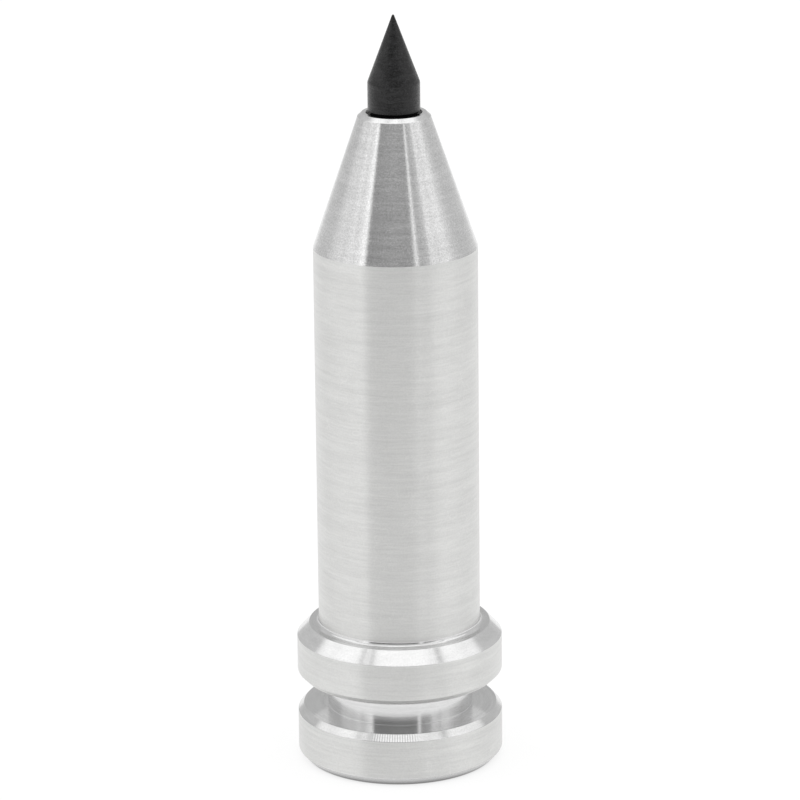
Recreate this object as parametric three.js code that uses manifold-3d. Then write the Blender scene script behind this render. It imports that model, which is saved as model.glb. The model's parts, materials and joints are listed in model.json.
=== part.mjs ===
// Spring-loaded live centre with a flanged aluminium housing.
//
// Frame: millimetres, +Z along the axis towards the point, origin at the centre of the base face that the housing stands on.
// The housing is one turned piece: base flange, clamp groove, upper flange, plain barrel and conical nose, bored through from the base.
// Inside, from the nose to the base: nose seal, front ball bearing, spacer sleeves, rear ball bearing, retaining ring, thrust ball
// bearing, spring seat, compression spring and a threaded rear plug.
// The spindle turns in the two inner rings and slides through them: its collar rests against the rear inner ring, and an end load on
// the point pushes the spindle, the thrust bearing and the spring seat back against the spring.
// The point is a separate carbide insert, fitted from the front, because its head is larger than the spindle's journal.
import * as THREE from "three";
import { mergeVertices } from "three/addons/utils/BufferGeometryUtils.js";
import Module from "manifold-3d";

const wasm = await Module();
wasm.setup();

// ---- driving dimensions, mm ----
const HOUSING_SIDES = 48;
const INNER_SIDES = 32;

const BARREL_R = 5.75;
const FLANGE_R = 7.31;
const NECK_R = 5.17; // bottom of the clamp groove
const BASE_CHAMFER = 0.58;
const BASE_WALL_TOP = 3.385;
const GROOVE_LOW = 3.84; // top face of the base flange
const BASE_TOP_R = 6.89;
const GROOVE_HIGH = 6.065; // underside of the upper flange
const UNDER_CHAMFER = 0.43;
const UPPER_WALL_TOP = 9.05;
const LEDGE_Z = 9.95;
const LEDGE_R = 6.435;
const GROOVE_FILLET = 0.06; // corners of the clamp groove
const ROOT_FILLET = 0.38; // barrel to ledge
const CONE_Z = 37.55; // barrel meets nose cone
const NOSE_Z = 47.09; // nose face
const NOSE_R = 2.555; // where the cone meets the bevelled nose rim
const NOSE_FLAT_R = 2.34;
const NOSE_FALL = 0.23; // axial height of the nose bevel
const NOSE_BORE_R = 1.965;

const BORE_R = 4.02;
const PLUG_BORE_R = 4.3;
const PLUG_BORE_TOP = 3.6;
const SHOULDER_Z = 36.4;
const SEAL_POCKET_R = 3.32;
const SEAL_POCKET_TOP = 37.7;
const RING_GROOVE_R = 4.42;

const POINT_R = 1.825;
const HEAD_Z = 47.3; // underside of the head, just clear of the nose face
const RECESS_R = 1.62; // relief behind the head, inside the nose bore
const POINT_SHOULDER_Z = 45.0; // seats on the front end of the spindle
const POINT_CONE_Z = 49.26;
const APEX_Z = 53.98; // top of the blunted tip
const TIP_R = 0.075;
const SHANK_R = 0.9;
const SHANK_L = 5.0;

const JOURNAL_R = 1.48; // runs and slides in the 3 mm inner rings
const COLLAR_R = 2.2;
const COLLAR_TOP = 16.5;
const COLLAR_LOW = 15.3;
const TAIL_END = 10.1;

const BEARING_W = 3.0; // 3 x 8 x 3 ball bearings
const BEARING_BORE_R = 1.5;
const BEARING_R = 4.0;
const BALL_R = 0.7;
const PITCH_R = 2.75;
const BALLS = 7;
const RACE_GAP = 0.03;
const FRONT_BEARING_Z = SHOULDER_Z - BEARING_W / 2;
const REAR_BEARING_Z = COLLAR_TOP + BEARING_W / 2;

const THRUST_BALL_R = 0.8; // 3 x 8 x 3.5 thrust ball bearing
const THRUST_BALLS = 8;
const WASHER_T = 1.1;
const THRUST_MID_Z = 13.55;
const THRUST_LOW_Z = 11.8;
const THRUST_R = 3.92;

const SEAT_LOW_Z = 10.8;
const PLUG_TOP_Z = 3.4;
const PLUG_LOW_Z = 0.35;
const WIRE_R = 0.35;
const COIL_R = 3.2;

// ---- helpers ----

// A piece turned about +Z from [radius, height] pairs. A profile off the axis closes on itself.
function turned(profile, sides = INNER_SIDES) {
  const onAxis = profile[0][0] === 0 && profile[profile.length - 1][0] === 0;
  let points = profile.map(([r, z]) => new THREE.Vector2(r, z));
  if (!onAxis && !points[0].equals(points[points.length - 1]))
    points.push(points[0].clone());
  let area = 0;
  for (let i = 0; i < points.length; i++) {
    const a = points[i],
      b = points[(i + 1) % points.length];
    area += a.x * b.y - b.x * a.y;
  }
  if (area < 0) points = points.reverse();
  return new THREE.LatheGeometry(points, sides).rotateX(Math.PI / 2);
}

function solidOf(geometry) {
  const bare = geometry.clone();
  for (const name of Object.keys(bare.attributes))
    if (name !== "position") bare.deleteAttribute(name);
  const merged = mergeVertices(bare, 1e-4);
  return new wasm.Manifold(
    new wasm.Mesh({
      numProp: 3,
      vertProperties: new Float32Array(merged.attributes.position.array),
      triVerts: new Uint32Array(merged.index.array),
    }),
  );
}

function geometryOf(solid) {
  const mesh = solid.getMesh();
  const geometry = new THREE.BufferGeometry();
  geometry.setAttribute(
    "position",
    new THREE.BufferAttribute(new Float32Array(mesh.vertProperties), 3),
  );
  geometry.setIndex(new THREE.BufferAttribute(new Uint32Array(mesh.triVerts), 1));
  geometry.computeVertexNormals();
  return geometry;
}

// Points of an arc about (cr, cz), both ends included.
function arc(cr, cz, radius, from, to, steps) {
  const out = [];
  for (let i = 0; i <= steps; i++) {
    const a = from + ((to - from) * i) / steps;
    out.push([cr + radius * Math.cos(a), cz + radius * Math.sin(a)]);
  }
  return out;
}

const aluminium = () =>
  new THREE.MeshStandardMaterial({ color: 0xc9cac9, roughness: 0.32, metalness: 1 });
const carbide = () =>
  new THREE.MeshStandardMaterial({ color: 0x3c3c3d, roughness: 0.5, metalness: 0.7 });
const groundSteel = () =>
  new THREE.MeshStandardMaterial({ color: 0xa9abad, roughness: 0.25, metalness: 1 });
const bearingSteel = () =>
  new THREE.MeshStandardMaterial({ color: 0xbcbec0, roughness: 0.15, metalness: 1 });
const cageBrass = () =>
  new THREE.MeshStandardMaterial({ color: 0xb08d4a, roughness: 0.35, metalness: 1 });
const springSteel = () =>
  new THREE.MeshStandardMaterial({ color: 0x7d7f82, roughness: 0.35, metalness: 1 });
const sealRubber = () =>
  new THREE.MeshStandardMaterial({ color: 0x1d1d1d, roughness: 0.75, metalness: 0 });
const blackSteel = () =>
  new THREE.MeshStandardMaterial({ color: 0x2b2b2c, roughness: 0.45, metalness: 0.8 });

function piece(name, geometry, material) {
  const mesh = new THREE.Mesh(geometry, material);
  mesh.name = name;
  return mesh;
}

// ---- housing ----
function housing() {
  const outside = [
    [FLANGE_R - BASE_CHAMFER, 0],
    [FLANGE_R, BASE_CHAMFER],
    [FLANGE_R, BASE_WALL_TOP],
    [BASE_TOP_R, GROOVE_LOW],
    [NECK_R + GROOVE_FILLET, GROOVE_LOW],
    [NECK_R, GROOVE_LOW + GROOVE_FILLET],
    [NECK_R, GROOVE_HIGH - GROOVE_FILLET],
    [NECK_R + GROOVE_FILLET, GROOVE_HIGH],
    [FLANGE_R - UNDER_CHAMFER, GROOVE_HIGH],
    [FLANGE_R, GROOVE_HIGH + UNDER_CHAMFER],
    [FLANGE_R, UPPER_WALL_TOP],
    [LEDGE_R, LEDGE_Z],
    [BARREL_R + ROOT_FILLET, LEDGE_Z],
    [BARREL_R + ROOT_FILLET * 0.29, LEDGE_Z + ROOT_FILLET * 0.29],
    [BARREL_R, LEDGE_Z + ROOT_FILLET],
    [BARREL_R, CONE_Z],
    [NOSE_R, NOSE_Z - NOSE_FALL],
    [NOSE_FLAT_R, NOSE_Z],
  ];
  const inside = [
    [NOSE_BORE_R, NOSE_Z],
    [NOSE_BORE_R, SEAL_POCKET_TOP],
    [SEAL_POCKET_R, SEAL_POCKET_TOP],
    [SEAL_POCKET_R, SHOULDER_Z],
    [BORE_R, SHOULDER_Z],
    [BORE_R, COLLAR_TOP],
    [RING_GROOVE_R, COLLAR_TOP],
    [RING_GROOVE_R, COLLAR_TOP - 0.72],
    [BORE_R, COLLAR_TOP - 0.72],
    [BORE_R, PLUG_BORE_TOP],
    [PLUG_BORE_R, PLUG_BORE_TOP],
    [PLUG_BORE_R, 0.2],
    [PLUG_BORE_R + 0.2, 0],
  ];
  return turned([...outside, ...inside], HOUSING_SIDES);
}

// ---- point and spindle ----
function centrePoint() {
  return turned(
    [
      [0, POINT_SHOULDER_Z - SHANK_L],
      [SHANK_R - 0.15, POINT_SHOULDER_Z - SHANK_L],
      [SHANK_R, POINT_SHOULDER_Z - SHANK_L + 0.15],
      [SHANK_R, POINT_SHOULDER_Z],
      [RECESS_R - 0.06, POINT_SHOULDER_Z],
      [RECESS_R, POINT_SHOULDER_Z + 0.06],
      [RECESS_R, HEAD_Z],
      [POINT_R - 0.05, HEAD_Z],
      [POINT_R, HEAD_Z + 0.05],
      [POINT_R, POINT_CONE_Z],
      [TIP_R, APEX_Z - 0.055],
      [TIP_R * 0.55, APEX_Z - 0.012],
      [0, APEX_Z],
    ],
    HOUSING_SIDES,
  );
}

function spindle() {
  const socketR = SHANK_R + 0.01;
  const socketEnd = POINT_SHOULDER_Z - SHANK_L - 0.6;
  return turned([
    [0, TAIL_END],
    [JOURNAL_R - 0.25, TAIL_END],
    [JOURNAL_R, TAIL_END + 0.25],
    [JOURNAL_R, COLLAR_LOW],
    [COLLAR_R, COLLAR_LOW],
    [COLLAR_R, COLLAR_TOP],
    [JOURNAL_R, COLLAR_TOP],
    [JOURNAL_R, POINT_SHOULDER_Z],
    [socketR, POINT_SHOULDER_Z],
    [socketR, socketEnd],
    [0, socketEnd - 0.5],
  ]);
}

function noseSeal() {
  return turned([
    [JOURNAL_R + 0.3, SHOULDER_Z],
    [SEAL_POCKET_R - 0.02, SHOULDER_Z],
    [SEAL_POCKET_R - 0.02, SEAL_POCKET_TOP - 0.02],
    [JOURNAL_R + 0.03, SEAL_POCKET_TOP - 0.02],
    [JOURNAL_R + 0.03, SEAL_POCKET_TOP - 0.32],
  ]);
}

// ---- ball bearings, drawn about their own centre ----
const HALF_W = BEARING_W / 2;
const INNER_LAND_R = 2.15;
const OUTER_LAND_R = 3.35;
const RACE_R = BALL_R + RACE_GAP;

function outerRing() {
  const half = Math.acos((OUTER_LAND_R - PITCH_R) / RACE_R);
  return turned([
    [BEARING_R, -HALF_W + 0.12],
    [BEARING_R, HALF_W - 0.12],
    [BEARING_R - 0.12, HALF_W],
    [3.6, HALF_W],
    [3.6, HALF_W - 0.3],
    [OUTER_LAND_R, HALF_W - 0.3],
    ...arc(PITCH_R, 0, RACE_R, half, -half, 4),
    [OUTER_LAND_R, -HALF_W + 0.3],
    [3.6, -HALF_W + 0.3],
    [3.6, -HALF_W],
    [BEARING_R - 0.12, -HALF_W],
  ]);
}

function innerRing() {
  const half = Math.acos((PITCH_R - INNER_LAND_R) / RACE_R);
  return turned([
    [BEARING_BORE_R + 0.1, -HALF_W],
    [INNER_LAND_R, -HALF_W],
    ...arc(PITCH_R, 0, RACE_R, Math.PI + half, Math.PI - half, 4),
    [INNER_LAND_R, HALF_W],
    [BEARING_BORE_R + 0.1, HALF_W],
    [BEARING_BORE_R, HALF_W - 0.1],
    [BEARING_BORE_R, -HALF_W + 0.1],
  ]);
}

function shield(side) {
  const far = side * (HALF_W - 0.08),
    near = side * (HALF_W - 0.28);
  return turned([
    [2.32, near],
    [3.58, near],
    [3.58, far],
    [2.32, far],
  ]);
}

function ballSpots(count, radius) {
  return Array.from({ length: count }, (_, i) => {
    const a = (2 * Math.PI * i) / count;
    return [radius * Math.cos(a), radius * Math.sin(a)];
  });
}

function ball(radius) {
  return new THREE.SphereGeometry(radius, 10, 7);
}

// Ring with open pockets that the balls snap into from one side.
function crownCage() {
  let cage = solidOf(
    turned(
      [
        [2.38, -1.02],
        [3.12, -1.02],
        [3.12, 0.3],
        [2.38, 0.3],
      ],
      24,
    ),
  );
  for (const [x, y] of ballSpots(BALLS, PITCH_R))
    cage = cage.subtract(
      solidOf(
        new THREE.SphereGeometry(BALL_R + 0.08, 10, 6)
          .rotateX(Math.PI / 2)
          .translate(x, y, 0),
      ),
    );
  return geometryOf(cage);
}

function ballBearing(prefix, z) {
  const group = new THREE.Group();
  group.position.z = z;
  group.add(piece(prefix + "_outer_ring", outerRing(), bearingSteel()));
  group.add(piece(prefix + "_inner_ring", innerRing(), bearingSteel()));
  group.add(piece(prefix + "_nose_side_shield", shield(1), bearingSteel()));
  group.add(piece(prefix + "_base_side_shield", shield(-1), bearingSteel()));
  group.add(piece(prefix + "_cage", crownCage(), cageBrass()));
  ballSpots(BALLS, PITCH_R).forEach(([x, y], i) => {
    const b = piece(prefix + "_ball_" + (i + 1), ball(BALL_R), bearingSteel());
    b.position.set(x, y, 0);
    group.add(b);
  });
  return group;
}

// ---- thrust bearing ----
const THRUST_RACE_R = THRUST_BALL_R + RACE_GAP;
const GROOVE_DROP = 0.65; // washer face to ball centre

function washer(side, boreR) {
  const near = side * GROOVE_DROP,
    far = side * (GROOVE_DROP + WASHER_T);
  const half = Math.acos(GROOVE_DROP / THRUST_RACE_R);
  const mid = (side * Math.PI) / 2;
  return turned([
    [boreR, near],
    ...arc(PITCH_R, 0, THRUST_RACE_R, mid + side * half, mid - side * half, 4),
    [THRUST_R, near],
    [THRUST_R, far],
    [boreR, far],
  ]);
}

function thrustCage() {
  let cage = solidOf(
    turned([
      [1.78, -0.32],
      [3.74, -0.32],
      [3.74, 0.32],
      [1.78, 0.32],
    ]),
  );
  for (const [x, y] of ballSpots(THRUST_BALLS, PITCH_R))
    cage = cage.subtract(
      solidOf(
        new THREE.CylinderGeometry(THRUST_BALL_R + 0.07, THRUST_BALL_R + 0.07, 2, 12)
          .rotateX(Math.PI / 2)
          .translate(x, y, 0),
      ),
    );
  return geometryOf(cage);
}

function thrustBearing() {
  const group = new THREE.Group();
  group.position.z = THRUST_MID_Z;
  group.add(piece("thrust_shaft_washer", washer(1, JOURNAL_R + 0.01), bearingSteel()));
  group.add(piece("thrust_housing_washer", washer(-1, 1.65), bearingSteel()));
  group.add(piece("thrust_cage", thrustCage(), cageBrass()));
  ballSpots(THRUST_BALLS, PITCH_R).forEach(([x, y], i) => {
    const b = piece("thrust_ball_" + (i + 1), ball(THRUST_BALL_R), bearingSteel());
    b.position.set(x, y, 0);
    group.add(b);
  });
  return group;
}

// ---- sleeves, retaining ring, spring seat, spring and plug ----
const SLEEVE_LOW = COLLAR_TOP + BEARING_W;
const SLEEVE_HIGH = SHOULDER_Z - BEARING_W;

function sleeve(inner, outer) {
  return turned([
    [inner, SLEEVE_LOW],
    [outer, SLEEVE_LOW],
    [outer, SLEEVE_HIGH],
    [inner, SLEEVE_HIGH],
  ]);
}

// Internal retaining ring: an open C with a lug and plier hole at each end.
function retainingRing() {
  const gap = 0.32; // half angle of the opening
  const outer = 4.36,
    inner = 3.62,
    lug = 3.1;
  const shape = new THREE.Shape();
  shape.absarc(0, 0, outer, gap, 2 * Math.PI - gap, false);
  shape.absarc(0, 0, lug, 2 * Math.PI - gap, 2 * Math.PI - gap - 0.42, true);
  shape.absarc(0, 0, inner, 2 * Math.PI - gap - 0.5, gap + 0.5, true);
  shape.absarc(0, 0, lug, gap + 0.42, gap, true);
  for (const a of [gap + 0.19, 2 * Math.PI - gap - 0.19]) {
    const hole = new THREE.Path();
    hole.absarc(3.55 * Math.cos(a), 3.55 * Math.sin(a), 0.26, 0, 2 * Math.PI, true);
    shape.holes.push(hole);
  }
  return new THREE.ExtrudeGeometry(shape, {
    depth: 0.62,
    bevelEnabled: false,
    curveSegments: 12,
  }).translate(0, 0, COLLAR_TOP - 0.67);
}

function springSeat() {
  return turned([
    [1.75, THRUST_LOW_Z],
    [3.92, THRUST_LOW_Z],
    [3.92, SEAT_LOW_Z],
    [2.6, SEAT_LOW_Z],
    [2.5, SEAT_LOW_Z - 1.0],
    [1.75, SEAT_LOW_Z - 1.0],
  ]);
}

class SpringPath extends THREE.Curve {
  getPoint(t, target = new THREE.Vector3()) {
    const turns = 5.5,
      dead = 1,
      deadPitch = 0.74;
    const low = PLUG_TOP_Z + WIRE_R + 0.01,
      high = SEAT_LOW_Z - WIRE_R - 0.01;
    const pitch = (high - low - 2 * dead * deadPitch) / (turns - 2 * dead);
    const n = t * turns;
    let z = low + Math.min(n, dead) * deadPitch;
    z += Math.max(0, Math.min(n - dead, turns - 2 * dead)) * pitch;
    z += Math.max(0, n - (turns - dead)) * deadPitch;
    const a = 2 * Math.PI * n;
    return target.set(COIL_R * Math.cos(a), COIL_R * Math.sin(a), z);
  }
}

function spring() {
  const section = new THREE.Shape();
  for (let i = 0; i < 6; i++) {
    const a = (2 * Math.PI * i) / 6;
    const x = WIRE_R * Math.cos(a),
      y = WIRE_R * Math.sin(a);
    if (i) section.lineTo(x, y);
    else section.moveTo(x, y);
  }
  return new THREE.ExtrudeGeometry(section, {
    steps: 76,
    bevelEnabled: false,
    extrudePath: new SpringPath(),
  });
}

// Threaded plug, drawn plain at its pitch diameter, with a hexagon socket from the base side.
function rearPlug() {
  const r = PLUG_BORE_R - 0.02;
  const body = solidOf(
    turned([
      [0, PLUG_LOW_Z],
      [r - 0.3, PLUG_LOW_Z],
      [r, PLUG_LOW_Z + 0.3],
      [r, PLUG_TOP_Z - 0.2],
      [r - 0.2, PLUG_TOP_Z],
      [0, PLUG_TOP_Z],
    ]),
  );
  const socket = solidOf(
    new THREE.CylinderGeometry(1.5 / Math.cos(Math.PI / 6), 1.5 / Math.cos(Math.PI / 6), 3.2, 6)
      .rotateX(Math.PI / 2)
      .translate(0, 0, PLUG_LOW_Z + 0.2),
  );
  return geometryOf(body.subtract(socket));
}

// ---- assembly ----
const centre = new THREE.Group();
centre.add(piece("housing", housing(), aluminium()));
centre.add(piece("centre_point", centrePoint(), carbide()));
centre.add(piece("spindle", spindle(), groundSteel()));
centre.add(piece("nose_seal", noseSeal(), sealRubber()));
centre.add(ballBearing("front_bearing", FRONT_BEARING_Z));
centre.add(ballBearing("rear_bearing", REAR_BEARING_Z));
centre.add(piece("inner_spacer_sleeve", sleeve(BEARING_BORE_R, 2.1), groundSteel()));
centre.add(piece("outer_spacer_sleeve", sleeve(3.45, BEARING_R), aluminium()));
centre.add(piece("retaining_ring", retainingRing(), blackSteel()));
centre.add(thrustBearing());
centre.add(piece("spring_seat", springSeat(), groundSteel()));
centre.add(piece("preload_spring", spring(), springSteel()));
centre.add(piece("rear_plug", rearPlug(), blackSteel()));

export default centre;
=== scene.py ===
# Looks for the small spring-loaded live center. Metres, same frame as the CAD: +Z to the point, base face at z = 0.
import json
import math
import bpy
import bmesh
from mathutils import Matrix, Vector


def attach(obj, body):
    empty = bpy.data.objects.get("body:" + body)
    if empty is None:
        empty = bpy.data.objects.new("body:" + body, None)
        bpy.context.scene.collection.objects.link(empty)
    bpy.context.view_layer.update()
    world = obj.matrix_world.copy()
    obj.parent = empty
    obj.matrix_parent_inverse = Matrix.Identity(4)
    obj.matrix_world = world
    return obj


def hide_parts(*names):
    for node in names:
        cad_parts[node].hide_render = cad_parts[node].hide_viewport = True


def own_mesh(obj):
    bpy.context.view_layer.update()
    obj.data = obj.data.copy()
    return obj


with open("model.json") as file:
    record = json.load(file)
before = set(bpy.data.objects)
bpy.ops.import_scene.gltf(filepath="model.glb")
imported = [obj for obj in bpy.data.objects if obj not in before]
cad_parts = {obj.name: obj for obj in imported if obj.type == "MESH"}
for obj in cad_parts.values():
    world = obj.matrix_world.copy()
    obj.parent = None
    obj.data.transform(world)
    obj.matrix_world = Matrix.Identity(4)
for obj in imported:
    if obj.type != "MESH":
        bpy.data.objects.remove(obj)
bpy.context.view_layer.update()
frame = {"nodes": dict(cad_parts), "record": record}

MM = 0.001
SEGS = 192


# ------------------------------------------------------------------ camera
def make_camera():
    f, dist, height = 4500.0, 303.2503, 117.6677
    pitch, roll, yaw, x0 = 0.29256, 0.01043, 0.00043, 0.07673
    fwd = Vector((math.sin(yaw) * math.cos(pitch), math.cos(yaw) * math.cos(pitch), -math.sin(pitch)))
    right = Vector((math.cos(yaw), -math.sin(yaw), 0))
    down = fwd.cross(right)
    if down.z > 0:
        down = -down
    ix = right * math.cos(roll) + down * math.sin(roll)
    iy = -right * math.sin(roll) + down * math.cos(roll)
    data = bpy.data.cameras.new("camera")
    data.sensor_width = 36.0
    data.lens = f * 36.0 / 800.0
    data.clip_start, data.clip_end = 0.01, 20.0
    cam = bpy.data.objects.new("camera", data)
    bpy.context.scene.collection.objects.link(cam)
    m = Matrix.Identity(4)
    for i in range(3):
        m[i][0], m[i][1], m[i][2] = ix[i], -iy[i], -fwd[i]
    m[0][3], m[1][3], m[2][3] = x0 * MM, -dist * MM, height * MM
    cam.matrix_world = m
    bpy.context.scene.camera = cam


make_camera()


# ------------------------------------------------------------------ node helpers
class Nodes:
    """Short hand for building one node tree."""

    def __init__(self, tree):
        self.tree = tree

    def add(self, kind, **values):
        n = self.tree.nodes.new(kind)
        for k, v in values.items():
            setattr(n, k, v)
        return n

    def link(self, a, b):
        self.tree.links.new(a, b)

    def feed(self, socket, value):
        if isinstance(value, bpy.types.NodeSocket):
            self.link(value, socket)
        else:
            socket.default_value = value

    def math(self, op, a, b=0.0, clamp=False):
        n = self.add("ShaderNodeMath", operation=op, use_clamp=clamp)
        self.feed(n.inputs[0], a)
        self.feed(n.inputs[1], b)
        return n.outputs[0]

    def span(self, value, lo, hi, out_lo, out_hi, smooth=False):
        n = self.add("ShaderNodeMapRange", interpolation_type="SMOOTHSTEP" if smooth else "LINEAR")
        self.feed(n.inputs["Value"], value)
        for key, v in (("From Min", lo), ("From Max", hi), ("To Min", out_lo), ("To Max", out_hi)):
            self.feed(n.inputs[key], v)
        return n.outputs["Result"]

    def noise(self, vector, scale, detail=2.0, rough=0.5):
        n = self.add("ShaderNodeTexNoise")
        self.link(vector, n.inputs["Vector"])
        n.inputs["Scale"].default_value = scale
        n.inputs["Detail"].default_value = detail
        n.inputs["Roughness"].default_value = rough
        return n.outputs["Fac"]

    def vector(self, x, y, z):
        n = self.add("ShaderNodeCombineXYZ")
        for i, v in enumerate((x, y, z)):
            self.feed(n.inputs[i], v)
        return n.outputs[0]

    def mix(self, fac, a, b):
        n = self.add("ShaderNodeMix", data_type="RGBA")
        self.feed(n.inputs["Factor"], fac)
        for socket, v in ((n.inputs[6], a), (n.inputs[7], b)):
            self.feed(socket, v)
        return n.outputs[2]


def ring_coords(n):
    """Object position in mm, its radius, and a coordinate that runs along a turned profile."""
    tc = n.add("ShaderNodeTexCoord")
    scale = n.add("ShaderNodeVectorMath", operation="SCALE")
    n.link(tc.outputs["Object"], scale.inputs[0])
    scale.inputs["Scale"].default_value = 1000.0
    sep = n.add("ShaderNodeSeparateXYZ")
    n.link(scale.outputs[0], sep.inputs[0])
    x, y, z = sep.outputs
    r = n.math("SQRT", n.math("ADD", n.math("MULTIPLY", x, x), n.math("MULTIPLY", y, y)))
    rs = n.math("MAXIMUM", r, 0.001)
    along = n.math("ADD", z, n.math("MULTIPLY", r, 0.7))
    return scale.outputs[0], n.math("DIVIDE", x, rs), n.math("DIVIDE", y, rs), z, r, along


def new_material(name):
    m = bpy.data.materials.new(name)
    m.use_nodes = True
    n = Nodes(m.node_tree)
    return m, n, m.node_tree.nodes["Principled BSDF"]


def turned_metal(name, color, rough, aniso, mark=0.06, band=0.05, speck=0.05, pitch=10.0, dash=2.5, wander=1.0, bump=0.35, height=4.0,
                 depth=0.4, smudge=0.015, scratch=0.0, front_shade_marks=0, spark=0.0, patchy=0.12, base_shade=0.0):
    """Turned metal. mark: fine tool marks, band: broader rings, speck: grain, smudge: patches wider than a mm, scratch:
    hairlines, the count of marks per turn draws painted shade, dark ticks over a narrow arc at the front only, spark:
    tiny bright grains. pitch is per mm, height is the bump in micrometres, dash and wander say how often the fine and
    broad rings break up round a turn, patchy is the spread of the roughness, and the last argument is painted shade,
    how much darker the metal is painted over the last half millimetre above the base face, where the shade of the floor
    contact falls."""
    m, n, b = new_material(name)
    pos, cx, cy, z, r, along = ring_coords(n)

    def rings(turn, rate, detail, rough_):
        return n.noise(n.vector(n.math("MULTIPLY", cx, turn), n.math("MULTIPLY", cy, turn), n.math("MULTIPLY", along, rate)), 1.0, detail, rough_)

    fine = rings(dash, pitch, 3.0, 0.65)
    wide = rings(wander, pitch * 0.42, 2.0, 0.5)
    grain = n.noise(pos, 8.0, 3.0, 0.7)
    level = n.math("ADD", n.span(fine, 0.25, 0.75, -mark, mark), n.span(wide, 0.25, 0.75, -band, band))
    level = n.math("ADD", level, n.span(grain, 0.3, 0.7, -speck, speck))
    level = n.math("ADD", level, n.span(n.noise(pos, 0.5, 2.0), 0.3, 0.7, -smudge, smudge))
    if scratch:
        line = n.math("ABSOLUTE", n.math("SUBTRACT", n.noise(pos, 0.9, 1.0), 0.5))
        where = n.span(n.noise(pos, 0.35, 1.0), 0.52, 0.6, 0.0, scratch)
        level = n.math("ADD", level, n.math("MULTIPLY", n.span(line, 0.0, 0.022, 1.0, 0.0, True), where))
    # painted shade: dark ticks over a narrow arc at the front, facing the camera, standing in for the dark patch of
    # shade in the groove
    if front_shade_marks:
        turn = n.math("MULTIPLY", n.math("ARCTAN2", cy, cx), float(front_shade_marks))
        wave = n.span(n.math("SINE", turn), 0.35, 1.0, 0.0, -0.3, True)
        side = n.span(n.math("ABSOLUTE", n.math("ADD", cx, 0.06)), 0.17, 0.26, 1.0, 0.0, True)
        front = n.span(cy, -0.8, -0.7, 1.0, 0.0)
        level = n.math("ADD", level, n.math("MULTIPLY", wave, n.math("MULTIPLY", side, front)))
    if spark:
        level = n.math("ADD", level, n.span(n.noise(pos, 3.1, 0.0), 0.76, 0.82, 0.0, spark))
    # painted shade: the metal darkens over the last half millimetre above the base face, standing in for the shade at
    # the floor contact
    if base_shade:
        level = n.math("ADD", level, n.span(z, 0.02, 0.5, -base_shade, 0.0))
    low = tuple(c * (1 - depth) for c in color) + (1.0,)
    high = tuple(min(1.0, c * (1 + depth)) for c in color) + (1.0,)
    n.link(n.mix(n.math("ADD", n.math("MULTIPLY", level, 0.5 / depth), 0.5, clamp=True), low, high), b.inputs["Base Color"])
    n.link(n.span(fine, 0.25, 0.75, rough * (1 - patchy), rough * (1 + patchy)), b.inputs["Roughness"])
    b.inputs["Metallic"].default_value = 1.0
    b.inputs["Anisotropic"].default_value = aniso
    b.inputs["Anisotropic Rotation"].default_value = 0.25
    tangent = n.add("ShaderNodeTangent", direction_type="RADIAL", axis="Z")
    n.link(tangent.outputs[0], b.inputs["Tangent"])
    bn = n.add("ShaderNodeBump")
    bn.inputs["Strength"].default_value = bump
    bn.inputs["Distance"].default_value = height * 1e-6
    n.link(n.math("ADD", n.math("ADD", fine, n.math("MULTIPLY", wide, 0.6)), n.math("MULTIPLY", grain, speck * 4)), bn.inputs["Height"])
    n.link(bn.outputs[0], b.inputs["Normal"])
    return m


# ------------------------------------------------------------------ turned meshes
def rounded(corners, steps=6):
    """A closed profile of (r, z, radius) corners in mm; each radius becomes an arc, with a support point beside it."""
    out = []
    count = len(corners)
    for i, (r, z, rad) in enumerate(corners):
        p = Vector((r, z))
        if rad <= 0:
            out.append(p)
            continue
        a = Vector(corners[i - 1][:2]) - p
        c = Vector(corners[(i + 1) % count][:2]) - p
        la, lc = a.length, c.length
        a, c = a / la, c / lc
        half = math.acos(max(-1, min(1, a.dot(c)))) / 2
        cut = min(rad / math.tan(half), 0.46 * la, 0.46 * lc)
        rad = cut * math.tan(half)
        centre = p + (a + c).normalized() * (rad / math.sin(half))
        s, e = p + a * cut, p + c * cut
        support = min(0.03, 0.2 * cut)
        out.append(s + a * support)
        v0, v1 = s - centre, e - centre
        total = v0.angle_signed(v1)
        for k in range(steps + 1):
            t = total * k / steps
            # angle_signed is clockwise positive
            ct, st = math.cos(-t), math.sin(-t)
            out.append(centre + Vector((v0.x * ct - v0.y * st, v0.x * st + v0.y * ct)))
        out.append(e + c * support)
    return out


def lathe(name, corners, segs=SEGS, steps=6):
    """A closed turned mesh about Z. Profile points on the axis become poles."""
    pts = rounded(corners, steps)
    bm = bmesh.new()
    rings = []
    for p in pts:
        if abs(p.x) < 1e-6:
            rings.append([bm.verts.new((0, 0, p.y * MM))])
        else:
            rings.append([
                bm.verts.new((p.x * MM * math.cos(2 * math.pi * k / segs), p.x * MM * math.sin(2 * math.pi * k / segs), p.y * MM))
                for k in range(segs)
            ])
    for i in range(len(rings)):
        a, b = rings[i], rings[(i + 1) % len(rings)]
        if len(a) == 1 and len(b) == 1:
            continue
        for k in range(segs):
            j = (k + 1) % segs
            if len(a) == 1:
                bm.faces.new((a[0], b[k], b[j]))
            elif len(b) == 1:
                bm.faces.new((a[k], b[0], a[j]))
            else:
                bm.faces.new((a[k], b[k], b[j], a[j]))
    bmesh.ops.recalc_face_normals(bm, faces=bm.faces)
    me = bpy.data.meshes.new(name)
    bm.to_mesh(me)
    bm.free()
    me.polygons.foreach_set("use_smooth", [True] * len(me.polygons))
    me.set_sharp_from_angle(angle=math.radians(32))
    o = bpy.data.objects.new(name, me)
    bpy.context.scene.collection.objects.link(o)
    return o


def place(obj, node, body, material):
    obj.data.materials.clear()
    obj.data.materials.append(material)
    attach(obj, body)
    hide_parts(node)
    return obj


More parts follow.
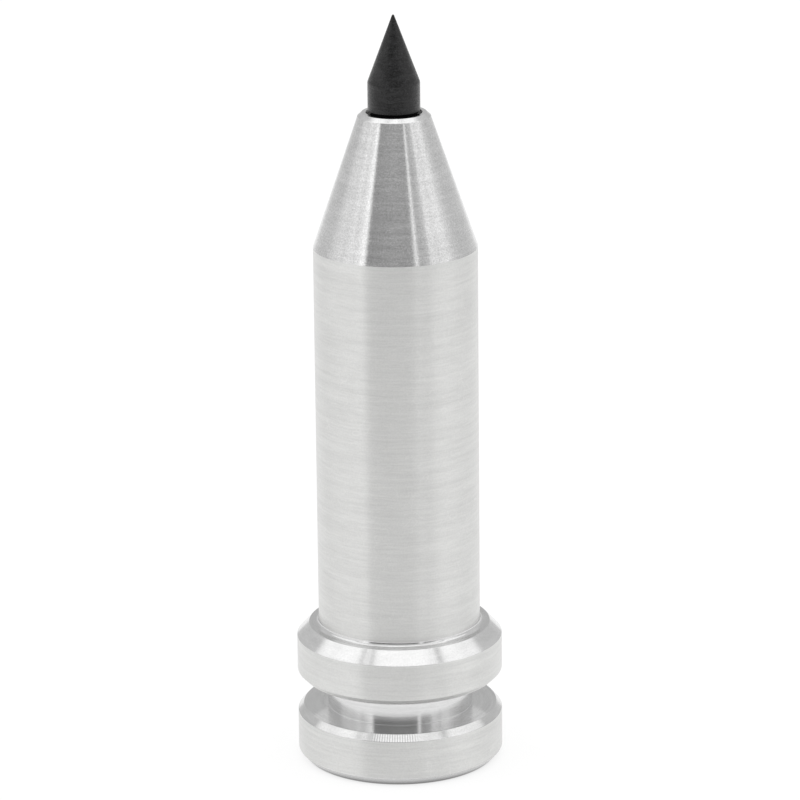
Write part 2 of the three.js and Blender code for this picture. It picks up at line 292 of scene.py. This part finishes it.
# ------------------------------------------------------------------ materials
ALU = turned_metal("turned_aluminium", (0.712, 0.713, 0.702), 0.36, 0.88, pitch=8.0, dash=5.0, scratch=0.05)
CONE = turned_metal("turned_aluminium_fine", (0.73, 0.73, 0.728), 0.2, 0.93, mark=0.07, band=0.05, speck=0.16, height=6.0)
FACE = turned_metal("turned_aluminium_face", (0.73, 0.73, 0.728), 0.16, 0.9, mark=0.06, band=0.05, speck=0.05)
CHAMFER = turned_metal("turned_aluminium_chamfer", (0.74, 0.74, 0.738), 0.13, 0.9, mark=0.06, band=0.05, speck=0.06)
# painted shade: a darker copy of the chamfer metal for the lower flange's top chamfer, with dark ticks painted at the
# front where the groove's shade falls
PAINTED_FRONT_SHADE = turned_metal("turned_aluminium_painted_front_shade", (0.66, 0.66, 0.658), 0.15, 0.9, mark=0.06, band=0.05, speck=0.06, front_shade_marks=250)
# painted shade: metal for the bottom chamfer, darkened towards the base face where the shade of the floor contact falls
PAINTED_BASE_SHADE = turned_metal("turned_aluminium_painted_base_shade", (0.74, 0.74, 0.738), 0.2, 0.9, depth=0.8, base_shade=0.7)
CARBIDE = turned_metal("carbide", (0.010, 0.010, 0.0103), 0.23, 0.5, mark=1.3, band=0.6, speck=1.1, pitch=7.0, dash=2.0, bump=1.0,
                       height=9.0, depth=0.98, smudge=0.2, spark=2.2, patchy=0.3)
# painted shade: the relief neck under the carbide head is painted near black with little shine, standing in for the
# shadow in the gap under the head
PAINTED_RECESS_SHADE = turned_metal("carbide_painted_recess_shade", (0.003, 0.003, 0.003), 0.6, 0.0)
for m in (CARBIDE, PAINTED_RECESS_SHADE):
    m.node_tree.nodes["Principled BSDF"].inputs["Metallic"].default_value = 0.0
CARBIDE.node_tree.nodes["Principled BSDF"].inputs["Specular IOR Level"].default_value = 0.38
PAINTED_RECESS_SHADE.node_tree.nodes["Principled BSDF"].inputs["Specular IOR Level"].default_value = 0.1
GROUND = turned_metal("ground_steel", (0.6, 0.6, 0.61), 0.22, 0.6)
RACE = turned_metal("bearing_steel", (0.74, 0.74, 0.75), 0.12, 0.3, mark=0.02, band=0.01, speck=0.01, bump=0.1)
BRASS = turned_metal("cage_brass", (0.66, 0.5, 0.26), 0.3, 0.3, speck=0.08)
WIRE = turned_metal("spring_steel", (0.42, 0.42, 0.43), 0.3, 0.0, speck=0.08)
BLACK = turned_metal("black_steel", (0.045, 0.045, 0.047), 0.4, 0.2, speck=0.15)
RUBBER = turned_metal("seal_rubber", (0.02, 0.02, 0.02), 0.7, 0.0, speck=0.15)
RUBBER.node_tree.nodes["Principled BSDF"].inputs["Metallic"].default_value = 0.0
BY_SLOT = {"turned_aluminium": ALU, "carbide": CARBIDE, "ground_steel": GROUND, "bearing_steel": RACE, "cage_brass": BRASS,
           "spring_steel": WIRE, "black_steel": BLACK, "seal_rubber": RUBBER}
for entry in frame["record"]["subparts"]:
    o = frame["nodes"][entry["node"]]
    o.data.materials.clear()
    o.data.materials.append(BY_SLOT[entry["material_slot"]])

# ------------------------------------------------------------------ housing and point
HOUSING = [
    (6.73, 0.0, 0.12), (7.31, 0.58, 0.2), (7.31, 3.385, 0.06), (6.89, 3.84, 0.05),
    (5.17, 3.84, 0.03), (5.17, 6.065, 0.06), (6.88, 6.065, 0.06), (7.31, 6.495, 0.12),
    (7.31, 9.05, 0.05), (6.435, 9.95, 0.05), (5.75, 9.95, 0.38),
    (5.75, 37.55, 0.05), (2.555, 46.86, 0.08), (2.25, 47.13, 0.07), (1.965, 47.13, 0.03),
    (1.965, 37.7, 0.05), (3.32, 37.7, 0.05), (3.32, 36.4, 0.05), (4.02, 36.4, 0.03),
    (4.02, 16.5, 0.03), (4.42, 16.5, 0.02), (4.42, 15.78, 0.02), (4.02, 15.78, 0.03),
    (4.02, 3.6, 0.05), (4.3, 3.6, 0.05), (4.3, 0.2, 0.02), (4.5, 0.0, 0.02),
]
housing = place(lathe("housing_body", HOUSING, 256, 7), "housing", "housing", ALU)
for m in (CONE, FACE, CHAMFER, PAINTED_FRONT_SHADE, PAINTED_BASE_SHADE):
    housing.data.materials.append(m)
for poly in housing.data.polygons:
    z = poly.center.z * 1000
    r = math.hypot(poly.center.x, poly.center.y) * 1000
    tilt = abs(poly.normal.z)
    if r > 1.98 and z > 46.88:
        poly.material_index = 3
    elif z > 37.55 and tilt > 0.05 and r > 1.98:
        poly.material_index = 1
    elif r > 5.0 and (3.83 < z < 6.2 or (9.9 < z < 10.4 and tilt > 0.02)):
        poly.material_index = 2
    # the bottom chamfer takes the metal with painted contact shade
    elif z < 0.6 and r > 6.6 and 0.3 < tilt < 0.99:
        poly.material_index = 5
    elif 9.03 < z < 9.96 and 0.4 < tilt < 0.97:
        poly.material_index = 3
    # the lower flange's top chamfer takes the metal with painted shade at the front
    elif 3.36 < z < 3.85 and tilt > 0.3:
        poly.material_index = 4
POINT = [
    (0.0, 40.0, 0), (0.75, 40.0, 0.03), (0.9, 40.15, 0.05), (0.9, 45.0, 0.02), (1.62, 45.0, 0.05),
    (1.62, 47.26, 0.03), (1.825, 47.26, 0.04),
    (1.825, 49.26, 0.5), (0.083, 53.9, 0.05), (0.0, 53.98, 0),
]
point = place(lathe("point_insert", POINT, 160, 6), "centre_point", "spindle", CARBIDE)
point.data.materials.append(PAINTED_RECESS_SHADE)
# faces below the head's underside take the painted recess shade
for poly in point.data.polygons:
    if poly.center.z < 0.04727:
        poly.material_index = 1


# ------------------------------------------------------------------ pieces inside the housing
BODY = {node: body for body, nodes in frame["record"]["behaviour"]["bodies"].items() for node in nodes}
SLOT = {e["node"]: e["material_slot"] for e in frame["record"]["subparts"]}


def stand_for(obj, node, material=None):
    return place(obj, node, BODY[node], material or BY_SLOT[SLOT[node]])


def inside(node, corners, lift=0.0, segs=96, steps=4):
    return stand_for(lathe(node + "_body", [(r, z + lift, rad) for r, z, rad in corners], segs, steps), node)


def groove(r0, z0, radius, start, end, count=12):
    """Points on a ball race, from one angle to the other in degrees."""
    out = []
    for k in range(count + 1):
        a = math.radians(start + (end - start) * k / count)
        out.append((r0 + radius * math.cos(a), z0 + radius * math.sin(a), 0))
    return out


def ball_body(node, radius):
    """A ball at its CAD node's place, with the wide seams of a lapped ball kept smooth."""
    o = frame["nodes"][node]
    box = [o.matrix_world @ Vector(c) for c in o.bound_box]
    centre = sum(box, Vector()) / 8
    bm = bmesh.new()
    bmesh.ops.create_icosphere(bm, subdivisions=4, radius=radius * MM)
    bmesh.ops.translate(bm, verts=bm.verts, vec=centre)
    me = bpy.data.meshes.new(node + "_body")
    bm.to_mesh(me)
    bm.free()
    me.polygons.foreach_set("use_smooth", [True] * len(me.polygons))
    new = bpy.data.objects.new(node + "_body", me)
    bpy.context.scene.collection.objects.link(new)
    return stand_for(new, node)


def carve(obj, cutter_bm):
    """Cuts a set of closed shapes out of obj's mesh."""
    me = bpy.data.meshes.new("cutter")
    cutter_bm.to_mesh(me)
    cutter_bm.free()
    cutter = bpy.data.objects.new("cutter", me)
    bpy.context.scene.collection.objects.link(cutter)
    mod = obj.modifiers.new("cut", "BOOLEAN")
    mod.operation, mod.solver, mod.object = "DIFFERENCE", "EXACT", cutter
    bpy.context.view_layer.update()
    cut = bpy.data.meshes.new_from_object(obj.evaluated_get(bpy.context.evaluated_depsgraph_get()))
    obj.modifiers.clear()
    old, obj.data = obj.data, cut
    bpy.data.meshes.remove(old)
    bpy.data.objects.remove(cutter)
    bpy.data.meshes.remove(me)
    cut.polygons.foreach_set("use_smooth", [True] * len(cut.polygons))
    cut.set_sharp_from_angle(angle=math.radians(32))
    return obj


def helix(name, low, high, coil, wire, turns=5.5, dead=1.0, dead_pitch=0.74, sides=16, per_turn=64):
    """A compression spring with a closed turn at each end."""
    pitch = (high - low - 2 * dead * dead_pitch) / (turns - 2 * dead)
    bm = bmesh.new()
    steps = int(turns * per_turn)
    rings = []
    for k in range(steps + 1):
        t = turns * k / steps
        z = low + min(t, dead) * dead_pitch + max(0.0, min(t - dead, turns - 2 * dead)) * pitch + max(0.0, t - (turns - dead)) * dead_pitch
        a = 2 * math.pi * t
        out = Vector((math.cos(a), math.sin(a), 0))
        rise = (dead_pitch if t < dead or t > turns - dead else pitch) / (2 * math.pi * coil)
        up = Vector((math.sin(a) * rise, -math.cos(a) * rise, 1)).normalized()
        centre = out * coil + Vector((0, 0, z))
        # the last wire end is drawn in a little, as a cut and dressed end
        w = wire * (0.9 if k in (0, steps) else 1.0)
        rings.append([bm.verts.new((centre + out * (w * math.cos(2 * math.pi * j / sides)) + up * (w * math.sin(2 * math.pi * j / sides))) * MM)
                      for j in range(sides)])
    for a, b in zip(rings[:-1], rings[1:]):
        for j in range(sides):
            k = (j + 1) % sides
            bm.faces.new((a[j], a[k], b[k], b[j]))
    bm.faces.new(rings[0][::-1])
    bm.faces.new(rings[-1])
    bmesh.ops.recalc_face_normals(bm, faces=bm.faces)
    me = bpy.data.meshes.new(name)
    bm.to_mesh(me)
    bm.free()
    me.polygons.foreach_set("use_smooth", [True] * len(me.polygons))
    me.set_sharp_from_angle(angle=math.radians(40))
    o = bpy.data.objects.new(name, me)
    bpy.context.scene.collection.objects.link(o)
    return o


inside("spindle", [
    (0.0, 10.1, 0), (1.48, 10.1, 0.25), (1.48, 15.3, 0.04), (2.2, 15.3, 0.1), (2.2, 16.5, 0.1), (1.48, 16.5, 0.03),
    (1.48, 45.0, 0.08), (0.91, 45.0, 0.04), (0.91, 39.4, 0.04), (0.0, 38.9, 0),
])
inside("nose_seal", [(1.78, 36.4, 0.05), (3.3, 36.4, 0.1), (3.3, 37.68, 0.1), (1.51, 37.68, 0.03), (1.51, 37.38, 0.03)])
inside("inner_spacer_sleeve", [(1.5, 19.5, 0.06), (2.1, 19.5, 0.1), (2.1, 33.4, 0.1), (1.5, 33.4, 0.06)])
inside("outer_spacer_sleeve", [(3.45, 19.5, 0.1), (4.0, 19.5, 0.1), (4.0, 33.4, 0.1), (3.45, 33.4, 0.1)])
inside("spring_seat", [(1.75, 11.8, 0.1), (3.92, 11.8, 0.1), (3.92, 10.8, 0.1), (2.6, 10.8, 0.04), (2.5, 9.8, 0.1), (1.75, 9.8, 0.1)])
land = math.degrees(math.acos(0.6 / 0.73))
for prefix, mid in (("front_bearing", 34.9), ("rear_bearing", 18.0)):
    inside(prefix + "_outer_ring", [
        (4.0, -1.5, 0.12), (4.0, 1.5, 0.12), (3.6, 1.5, 0.03), (3.6, 1.2, 0.02), (3.35, 1.2, 0.03),
        *groove(2.75, 0.0, 0.73, land, -land), (3.35, -1.2, 0.03), (3.6, -1.2, 0.02), (3.6, -1.5, 0.03),
    ], mid)
    inside(prefix + "_inner_ring", [
        (1.5, -1.5, 0.1), (2.15, -1.5, 0.05), *groove(2.75, 0.0, 0.73, 180 + land, 180 - land), (2.15, 1.5, 0.05), (1.5, 1.5, 0.1),
    ], mid)
    for side, name in ((1, "nose"), (-1, "base")):
        inside(f"{prefix}_{name}_side_shield", [
            (2.32, side * 1.22, 0.03), (3.58, side * 1.22, 0.03), (3.58, side * 1.42, 0.03), (2.32, side * 1.42, 0.03),
        ], mid)
    for i in range(1, 8):
        ball_body(f"{prefix}_ball_{i}", 0.7)
    cage = lathe(prefix + "_cage_body", [(2.38, mid - 1.02, 0.04), (3.12, mid - 1.02, 0.04), (3.12, mid + 0.3, 0.04), (2.38, mid + 0.3, 0.04)], 112, 3)
    pockets = bmesh.new()
    for i in range(7):
        a = 2 * math.pi * i / 7
        bmesh.ops.create_icosphere(pockets, subdivisions=3, radius=0.78 * MM,
                                   matrix=Matrix.Translation((2.75 * MM * math.cos(a), 2.75 * MM * math.sin(a), mid * MM)))
    stand_for(carve(cage, pockets), prefix + "_cage")
race = math.degrees(math.acos(0.65 / 0.83))
for node, side, bore in (("thrust_shaft_washer", 1, 1.49), ("thrust_housing_washer", -1, 1.65)):
    inside(node, [
        (bore, side * 0.65, 0.06), *groove(2.75, 0.0, 0.83, side * (90 + race), side * (90 - race)), (3.92, side * 0.65, 0.1),
        (3.92, side * 1.75, 0.12), (bore, side * 1.75, 0.06),
    ], 13.55)
for i in range(1, 9):
    ball_body(f"thrust_ball_{i}", 0.8)
cage = lathe("thrust_cage_body", [(1.78, 13.23, 0.05), (3.74, 13.23, 0.05), (3.74, 13.87, 0.05), (1.78, 13.87, 0.05)], 96, 3)
pockets = bmesh.new()
for i in range(8):
    a = 2 * math.pi * i / 8
    bmesh.ops.create_cone(pockets, cap_ends=True, segments=40, radius1=0.87 * MM, radius2=0.87 * MM, depth=2 * MM,
                          matrix=Matrix.Translation((2.75 * MM * math.cos(a), 2.75 * MM * math.sin(a), 13.55 * MM)))
stand_for(carve(cage, pockets), "thrust_cage")
spring = stand_for(helix("preload_spring_body", 3.76, 10.44, 3.2, 0.35), "preload_spring")
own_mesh(spring)
plug = lathe("rear_plug_body", [(0.0, 0.35, 0), (4.28, 0.35, 0.3), (4.28, 3.4, 0.2), (0.0, 3.4, 0)], 96, 3)
socket = bmesh.new()
bmesh.ops.create_cone(socket, cap_ends=True, segments=6, radius1=1.5 * MM / math.cos(math.pi / 6), radius2=1.5 * MM / math.cos(math.pi / 6), depth=3.2 * MM,
                      matrix=Matrix.Translation((0, 0, 0.55 * MM)))
stand_for(carve(plug, socket), "rear_plug")


# ------------------------------------------------------------------ studio
def tent():
    """A light tent: a dome whose panels are procedural, brighter overhead and in strips at the sides, darker in front and behind."""
    bm = bmesh.new()
    bmesh.ops.create_uvsphere(bm, u_segments=96, v_segments=48, radius=1.4)
    bmesh.ops.delete(bm, geom=[v for v in bm.verts if v.co.z < -0.01], context="VERTS")
    bmesh.ops.reverse_faces(bm, faces=bm.faces)
    me = bpy.data.meshes.new("studio_tent")
    bm.to_mesh(me)
    bm.free()
    o = bpy.data.objects.new("studio_tent", me)
    bpy.context.scene.collection.objects.link(o)
    o.visible_camera = False
    o.visible_shadow = False
    m = bpy.data.materials.new("studio_tent")
    m.use_nodes = True
    n = Nodes(m.node_tree)
    m.node_tree.nodes.remove(m.node_tree.nodes["Principled BSDF"])
    tc = n.add("ShaderNodeTexCoord")
    sep = n.add("ShaderNodeSeparateXYZ")
    n.link(tc.outputs["Object"], sep.inputs[0])
    x, y, z = sep.outputs
    # azimuth from the front (-Y), positive to the right, in degrees
    az = n.math("MULTIPLY", n.math("ARCTAN2", x, n.math("MULTIPLY", y, -1.0)), 180 / math.pi)
    hr = n.math("SQRT", n.math("ADD", n.math("MULTIPLY", x, x), n.math("MULTIPLY", y, y)))
    el = n.math("MULTIPLY", n.math("ARCTAN2", z, hr), 180 / math.pi)

    def ramp(stops):
        rn = n.add("ShaderNodeValToRGB")
        n.link(n.span(az, -180.0, 180.0, 0.0, 1.0), rn.inputs[0])
        els = rn.color_ramp.elements
        while len(els) > 1:
            els.remove(els[-1])
        els[0].position = (stops[0][0] + 180) / 360
        els[0].color = (stops[0][1] / 4,) * 3 + (1,)
        for a, v in stops[1:]:
            e = els.new((a + 180) / 360)
            e.color = (v / 4,) * 3 + (1,)
        return n.math("MULTIPLY", rn.outputs[0], 4.0)

    low = ramp([(-180, 0.66), (-150, 0.68), (-130, 0.64), (-116, 0.64), (-104, 0.72), (-92, 0.88), (-50, 0.96), (-44, 0.90), (-40, 0.0),
                (28, 0.0), (29, 0.6), (31.5, 0.6), (33, 0.18), (50, 0.28), (60, 0.85), (88, 0.85), (105, 0.70), (118, 0.64), (130, 0.64),
                (150, 0.70), (180, 0.66)])
    wall = ramp([(-180, 0.56), (-162, 0.58), (-140, 0.68), (-112, 0.68), (-104, 0.82), (-88, 0.90), (-82, 0.80), (-72, 0.97), (-64, 0.94),
                 (-53, 1.05), (-51, 1.5), (-46, 1.5), (-41.5, 0.21), (-20, 0.19), (20, 0.22), (27, 0.32), (28.5, 1.4), (32, 1.4),
                 (33.5, 0.46), (49, 0.52), (52, 0.96), (80, 1.02), (89, 0.80), (100, 0.66), (112, 0.62), (122, 0.68), (140, 0.68),
                 (162, 0.58), (180, 0.56)])
    roof = ramp([(-180, 0.70), (-120.5, 0.70), (-117.2, 1.15), (-108, 1.3), (-100.5, 1.15), (-93, 1.3), (-69, 1.33), (-68, 0.5), (-64, 0.5),
                 (-63, 1.2), (-54, 1.2), (-53, 0.7), (-49, 0.7), (-47.5, 0.9), (-43, 0.7), (43, 0.7), (49.5, 1.1), (55.5, 1.25),
                 (65.5, 1.25), (66.5, 0.4), (71.3, 0.4), (72.3, 1.3), (93, 1.25), (100.5, 1.15), (109, 1.22), (115, 1.15), (119, 0.70),
                 (180, 0.70)])
    crown = ramp([(-180, 1.2), (-72, 1.35), (-69, 1.33), (-68, 0.5), (-64, 0.5), (-63, 1.2), (-54, 1.2), (-53, 0.7), (-49, 0.7), (-47.5, 1.35),
                  (49.5, 1.38), (55.5, 1.25), (65.5, 1.3), (66.5, 0.4), (71.3, 0.4), (72.3, 1.3), (180, 1.2)])
    mixed = low
    for band, start, end in ((wall, 5.0, 11.0), (roof, 25.5, 28.5), (crown, 56.0, 59.0)):
        fac = n.span(el, start, end, 0.0, 1.0, True)
        mixed = n.math("ADD", n.math("MULTIPLY", mixed, n.math("SUBTRACT", 1.0, fac)), n.math("MULTIPLY", band, fac))
    em = n.add("ShaderNodeEmission")
    em.inputs["Color"].default_value = (1, 1, 1, 1)
    n.link(mixed, em.inputs["Strength"])
    out = m.node_tree.nodes["Material Output"]
    n.link(em.outputs[0], out.inputs["Surface"])
    me.materials.append(m)


def floor():
    bpy.ops.mesh.primitive_grid_add(x_subdivisions=4, y_subdivisions=4, size=2.9)
    o = bpy.context.object
    o.name = "floor"
    m, n, b = new_material("floor")
    tc = n.add("ShaderNodeTexCoord")
    tone = n.noise(tc.outputs["Object"], 3.0)
    n.link(n.mix(tone, (0.24, 0.24, 0.24, 1), (0.25, 0.25, 0.25, 1)), b.inputs["Base Color"])
    b.inputs["Roughness"].default_value = 0.9
    b.inputs["Specular IOR Level"].default_value = 0.1
    b.inputs["Emission Color"].default_value = (1, 1, 1, 1)
    sep = n.add("ShaderNodeSeparateXYZ")
    n.link(tc.outputs["Object"], sep.inputs[0])
    x, y, _ = sep.outputs
    r = n.math("SQRT", n.math("ADD", n.math("MULTIPLY", x, x), n.math("MULTIPLY", y, y)))
    # painted contact shadow: the floor's glow drops to almost nothing inside 6.5 mm of the axis, under the base; the
    # glow also dims beyond 0.29 m, a painted pool of light brighter round the object
    painted_contact_shadow = n.span(r, 0.0065, 0.0069, 0.02, 0.8, True)
    n.link(n.math("MULTIPLY", painted_contact_shadow, n.span(r, 0.29, 0.42, 1.0, 0.6, True)), b.inputs["Emission Strength"])
    o.data.materials.append(m)


tent()
floor()
world = bpy.data.worlds.new("world")
bpy.context.scene.world = world
world.use_nodes = True
world.node_tree.nodes["Background"].inputs["Color"].default_value = (1, 1, 1, 1)
world.node_tree.nodes["Background"].inputs["Strength"].default_value = 1.0
bpy.context.scene.view_settings.view_transform = "Standard"
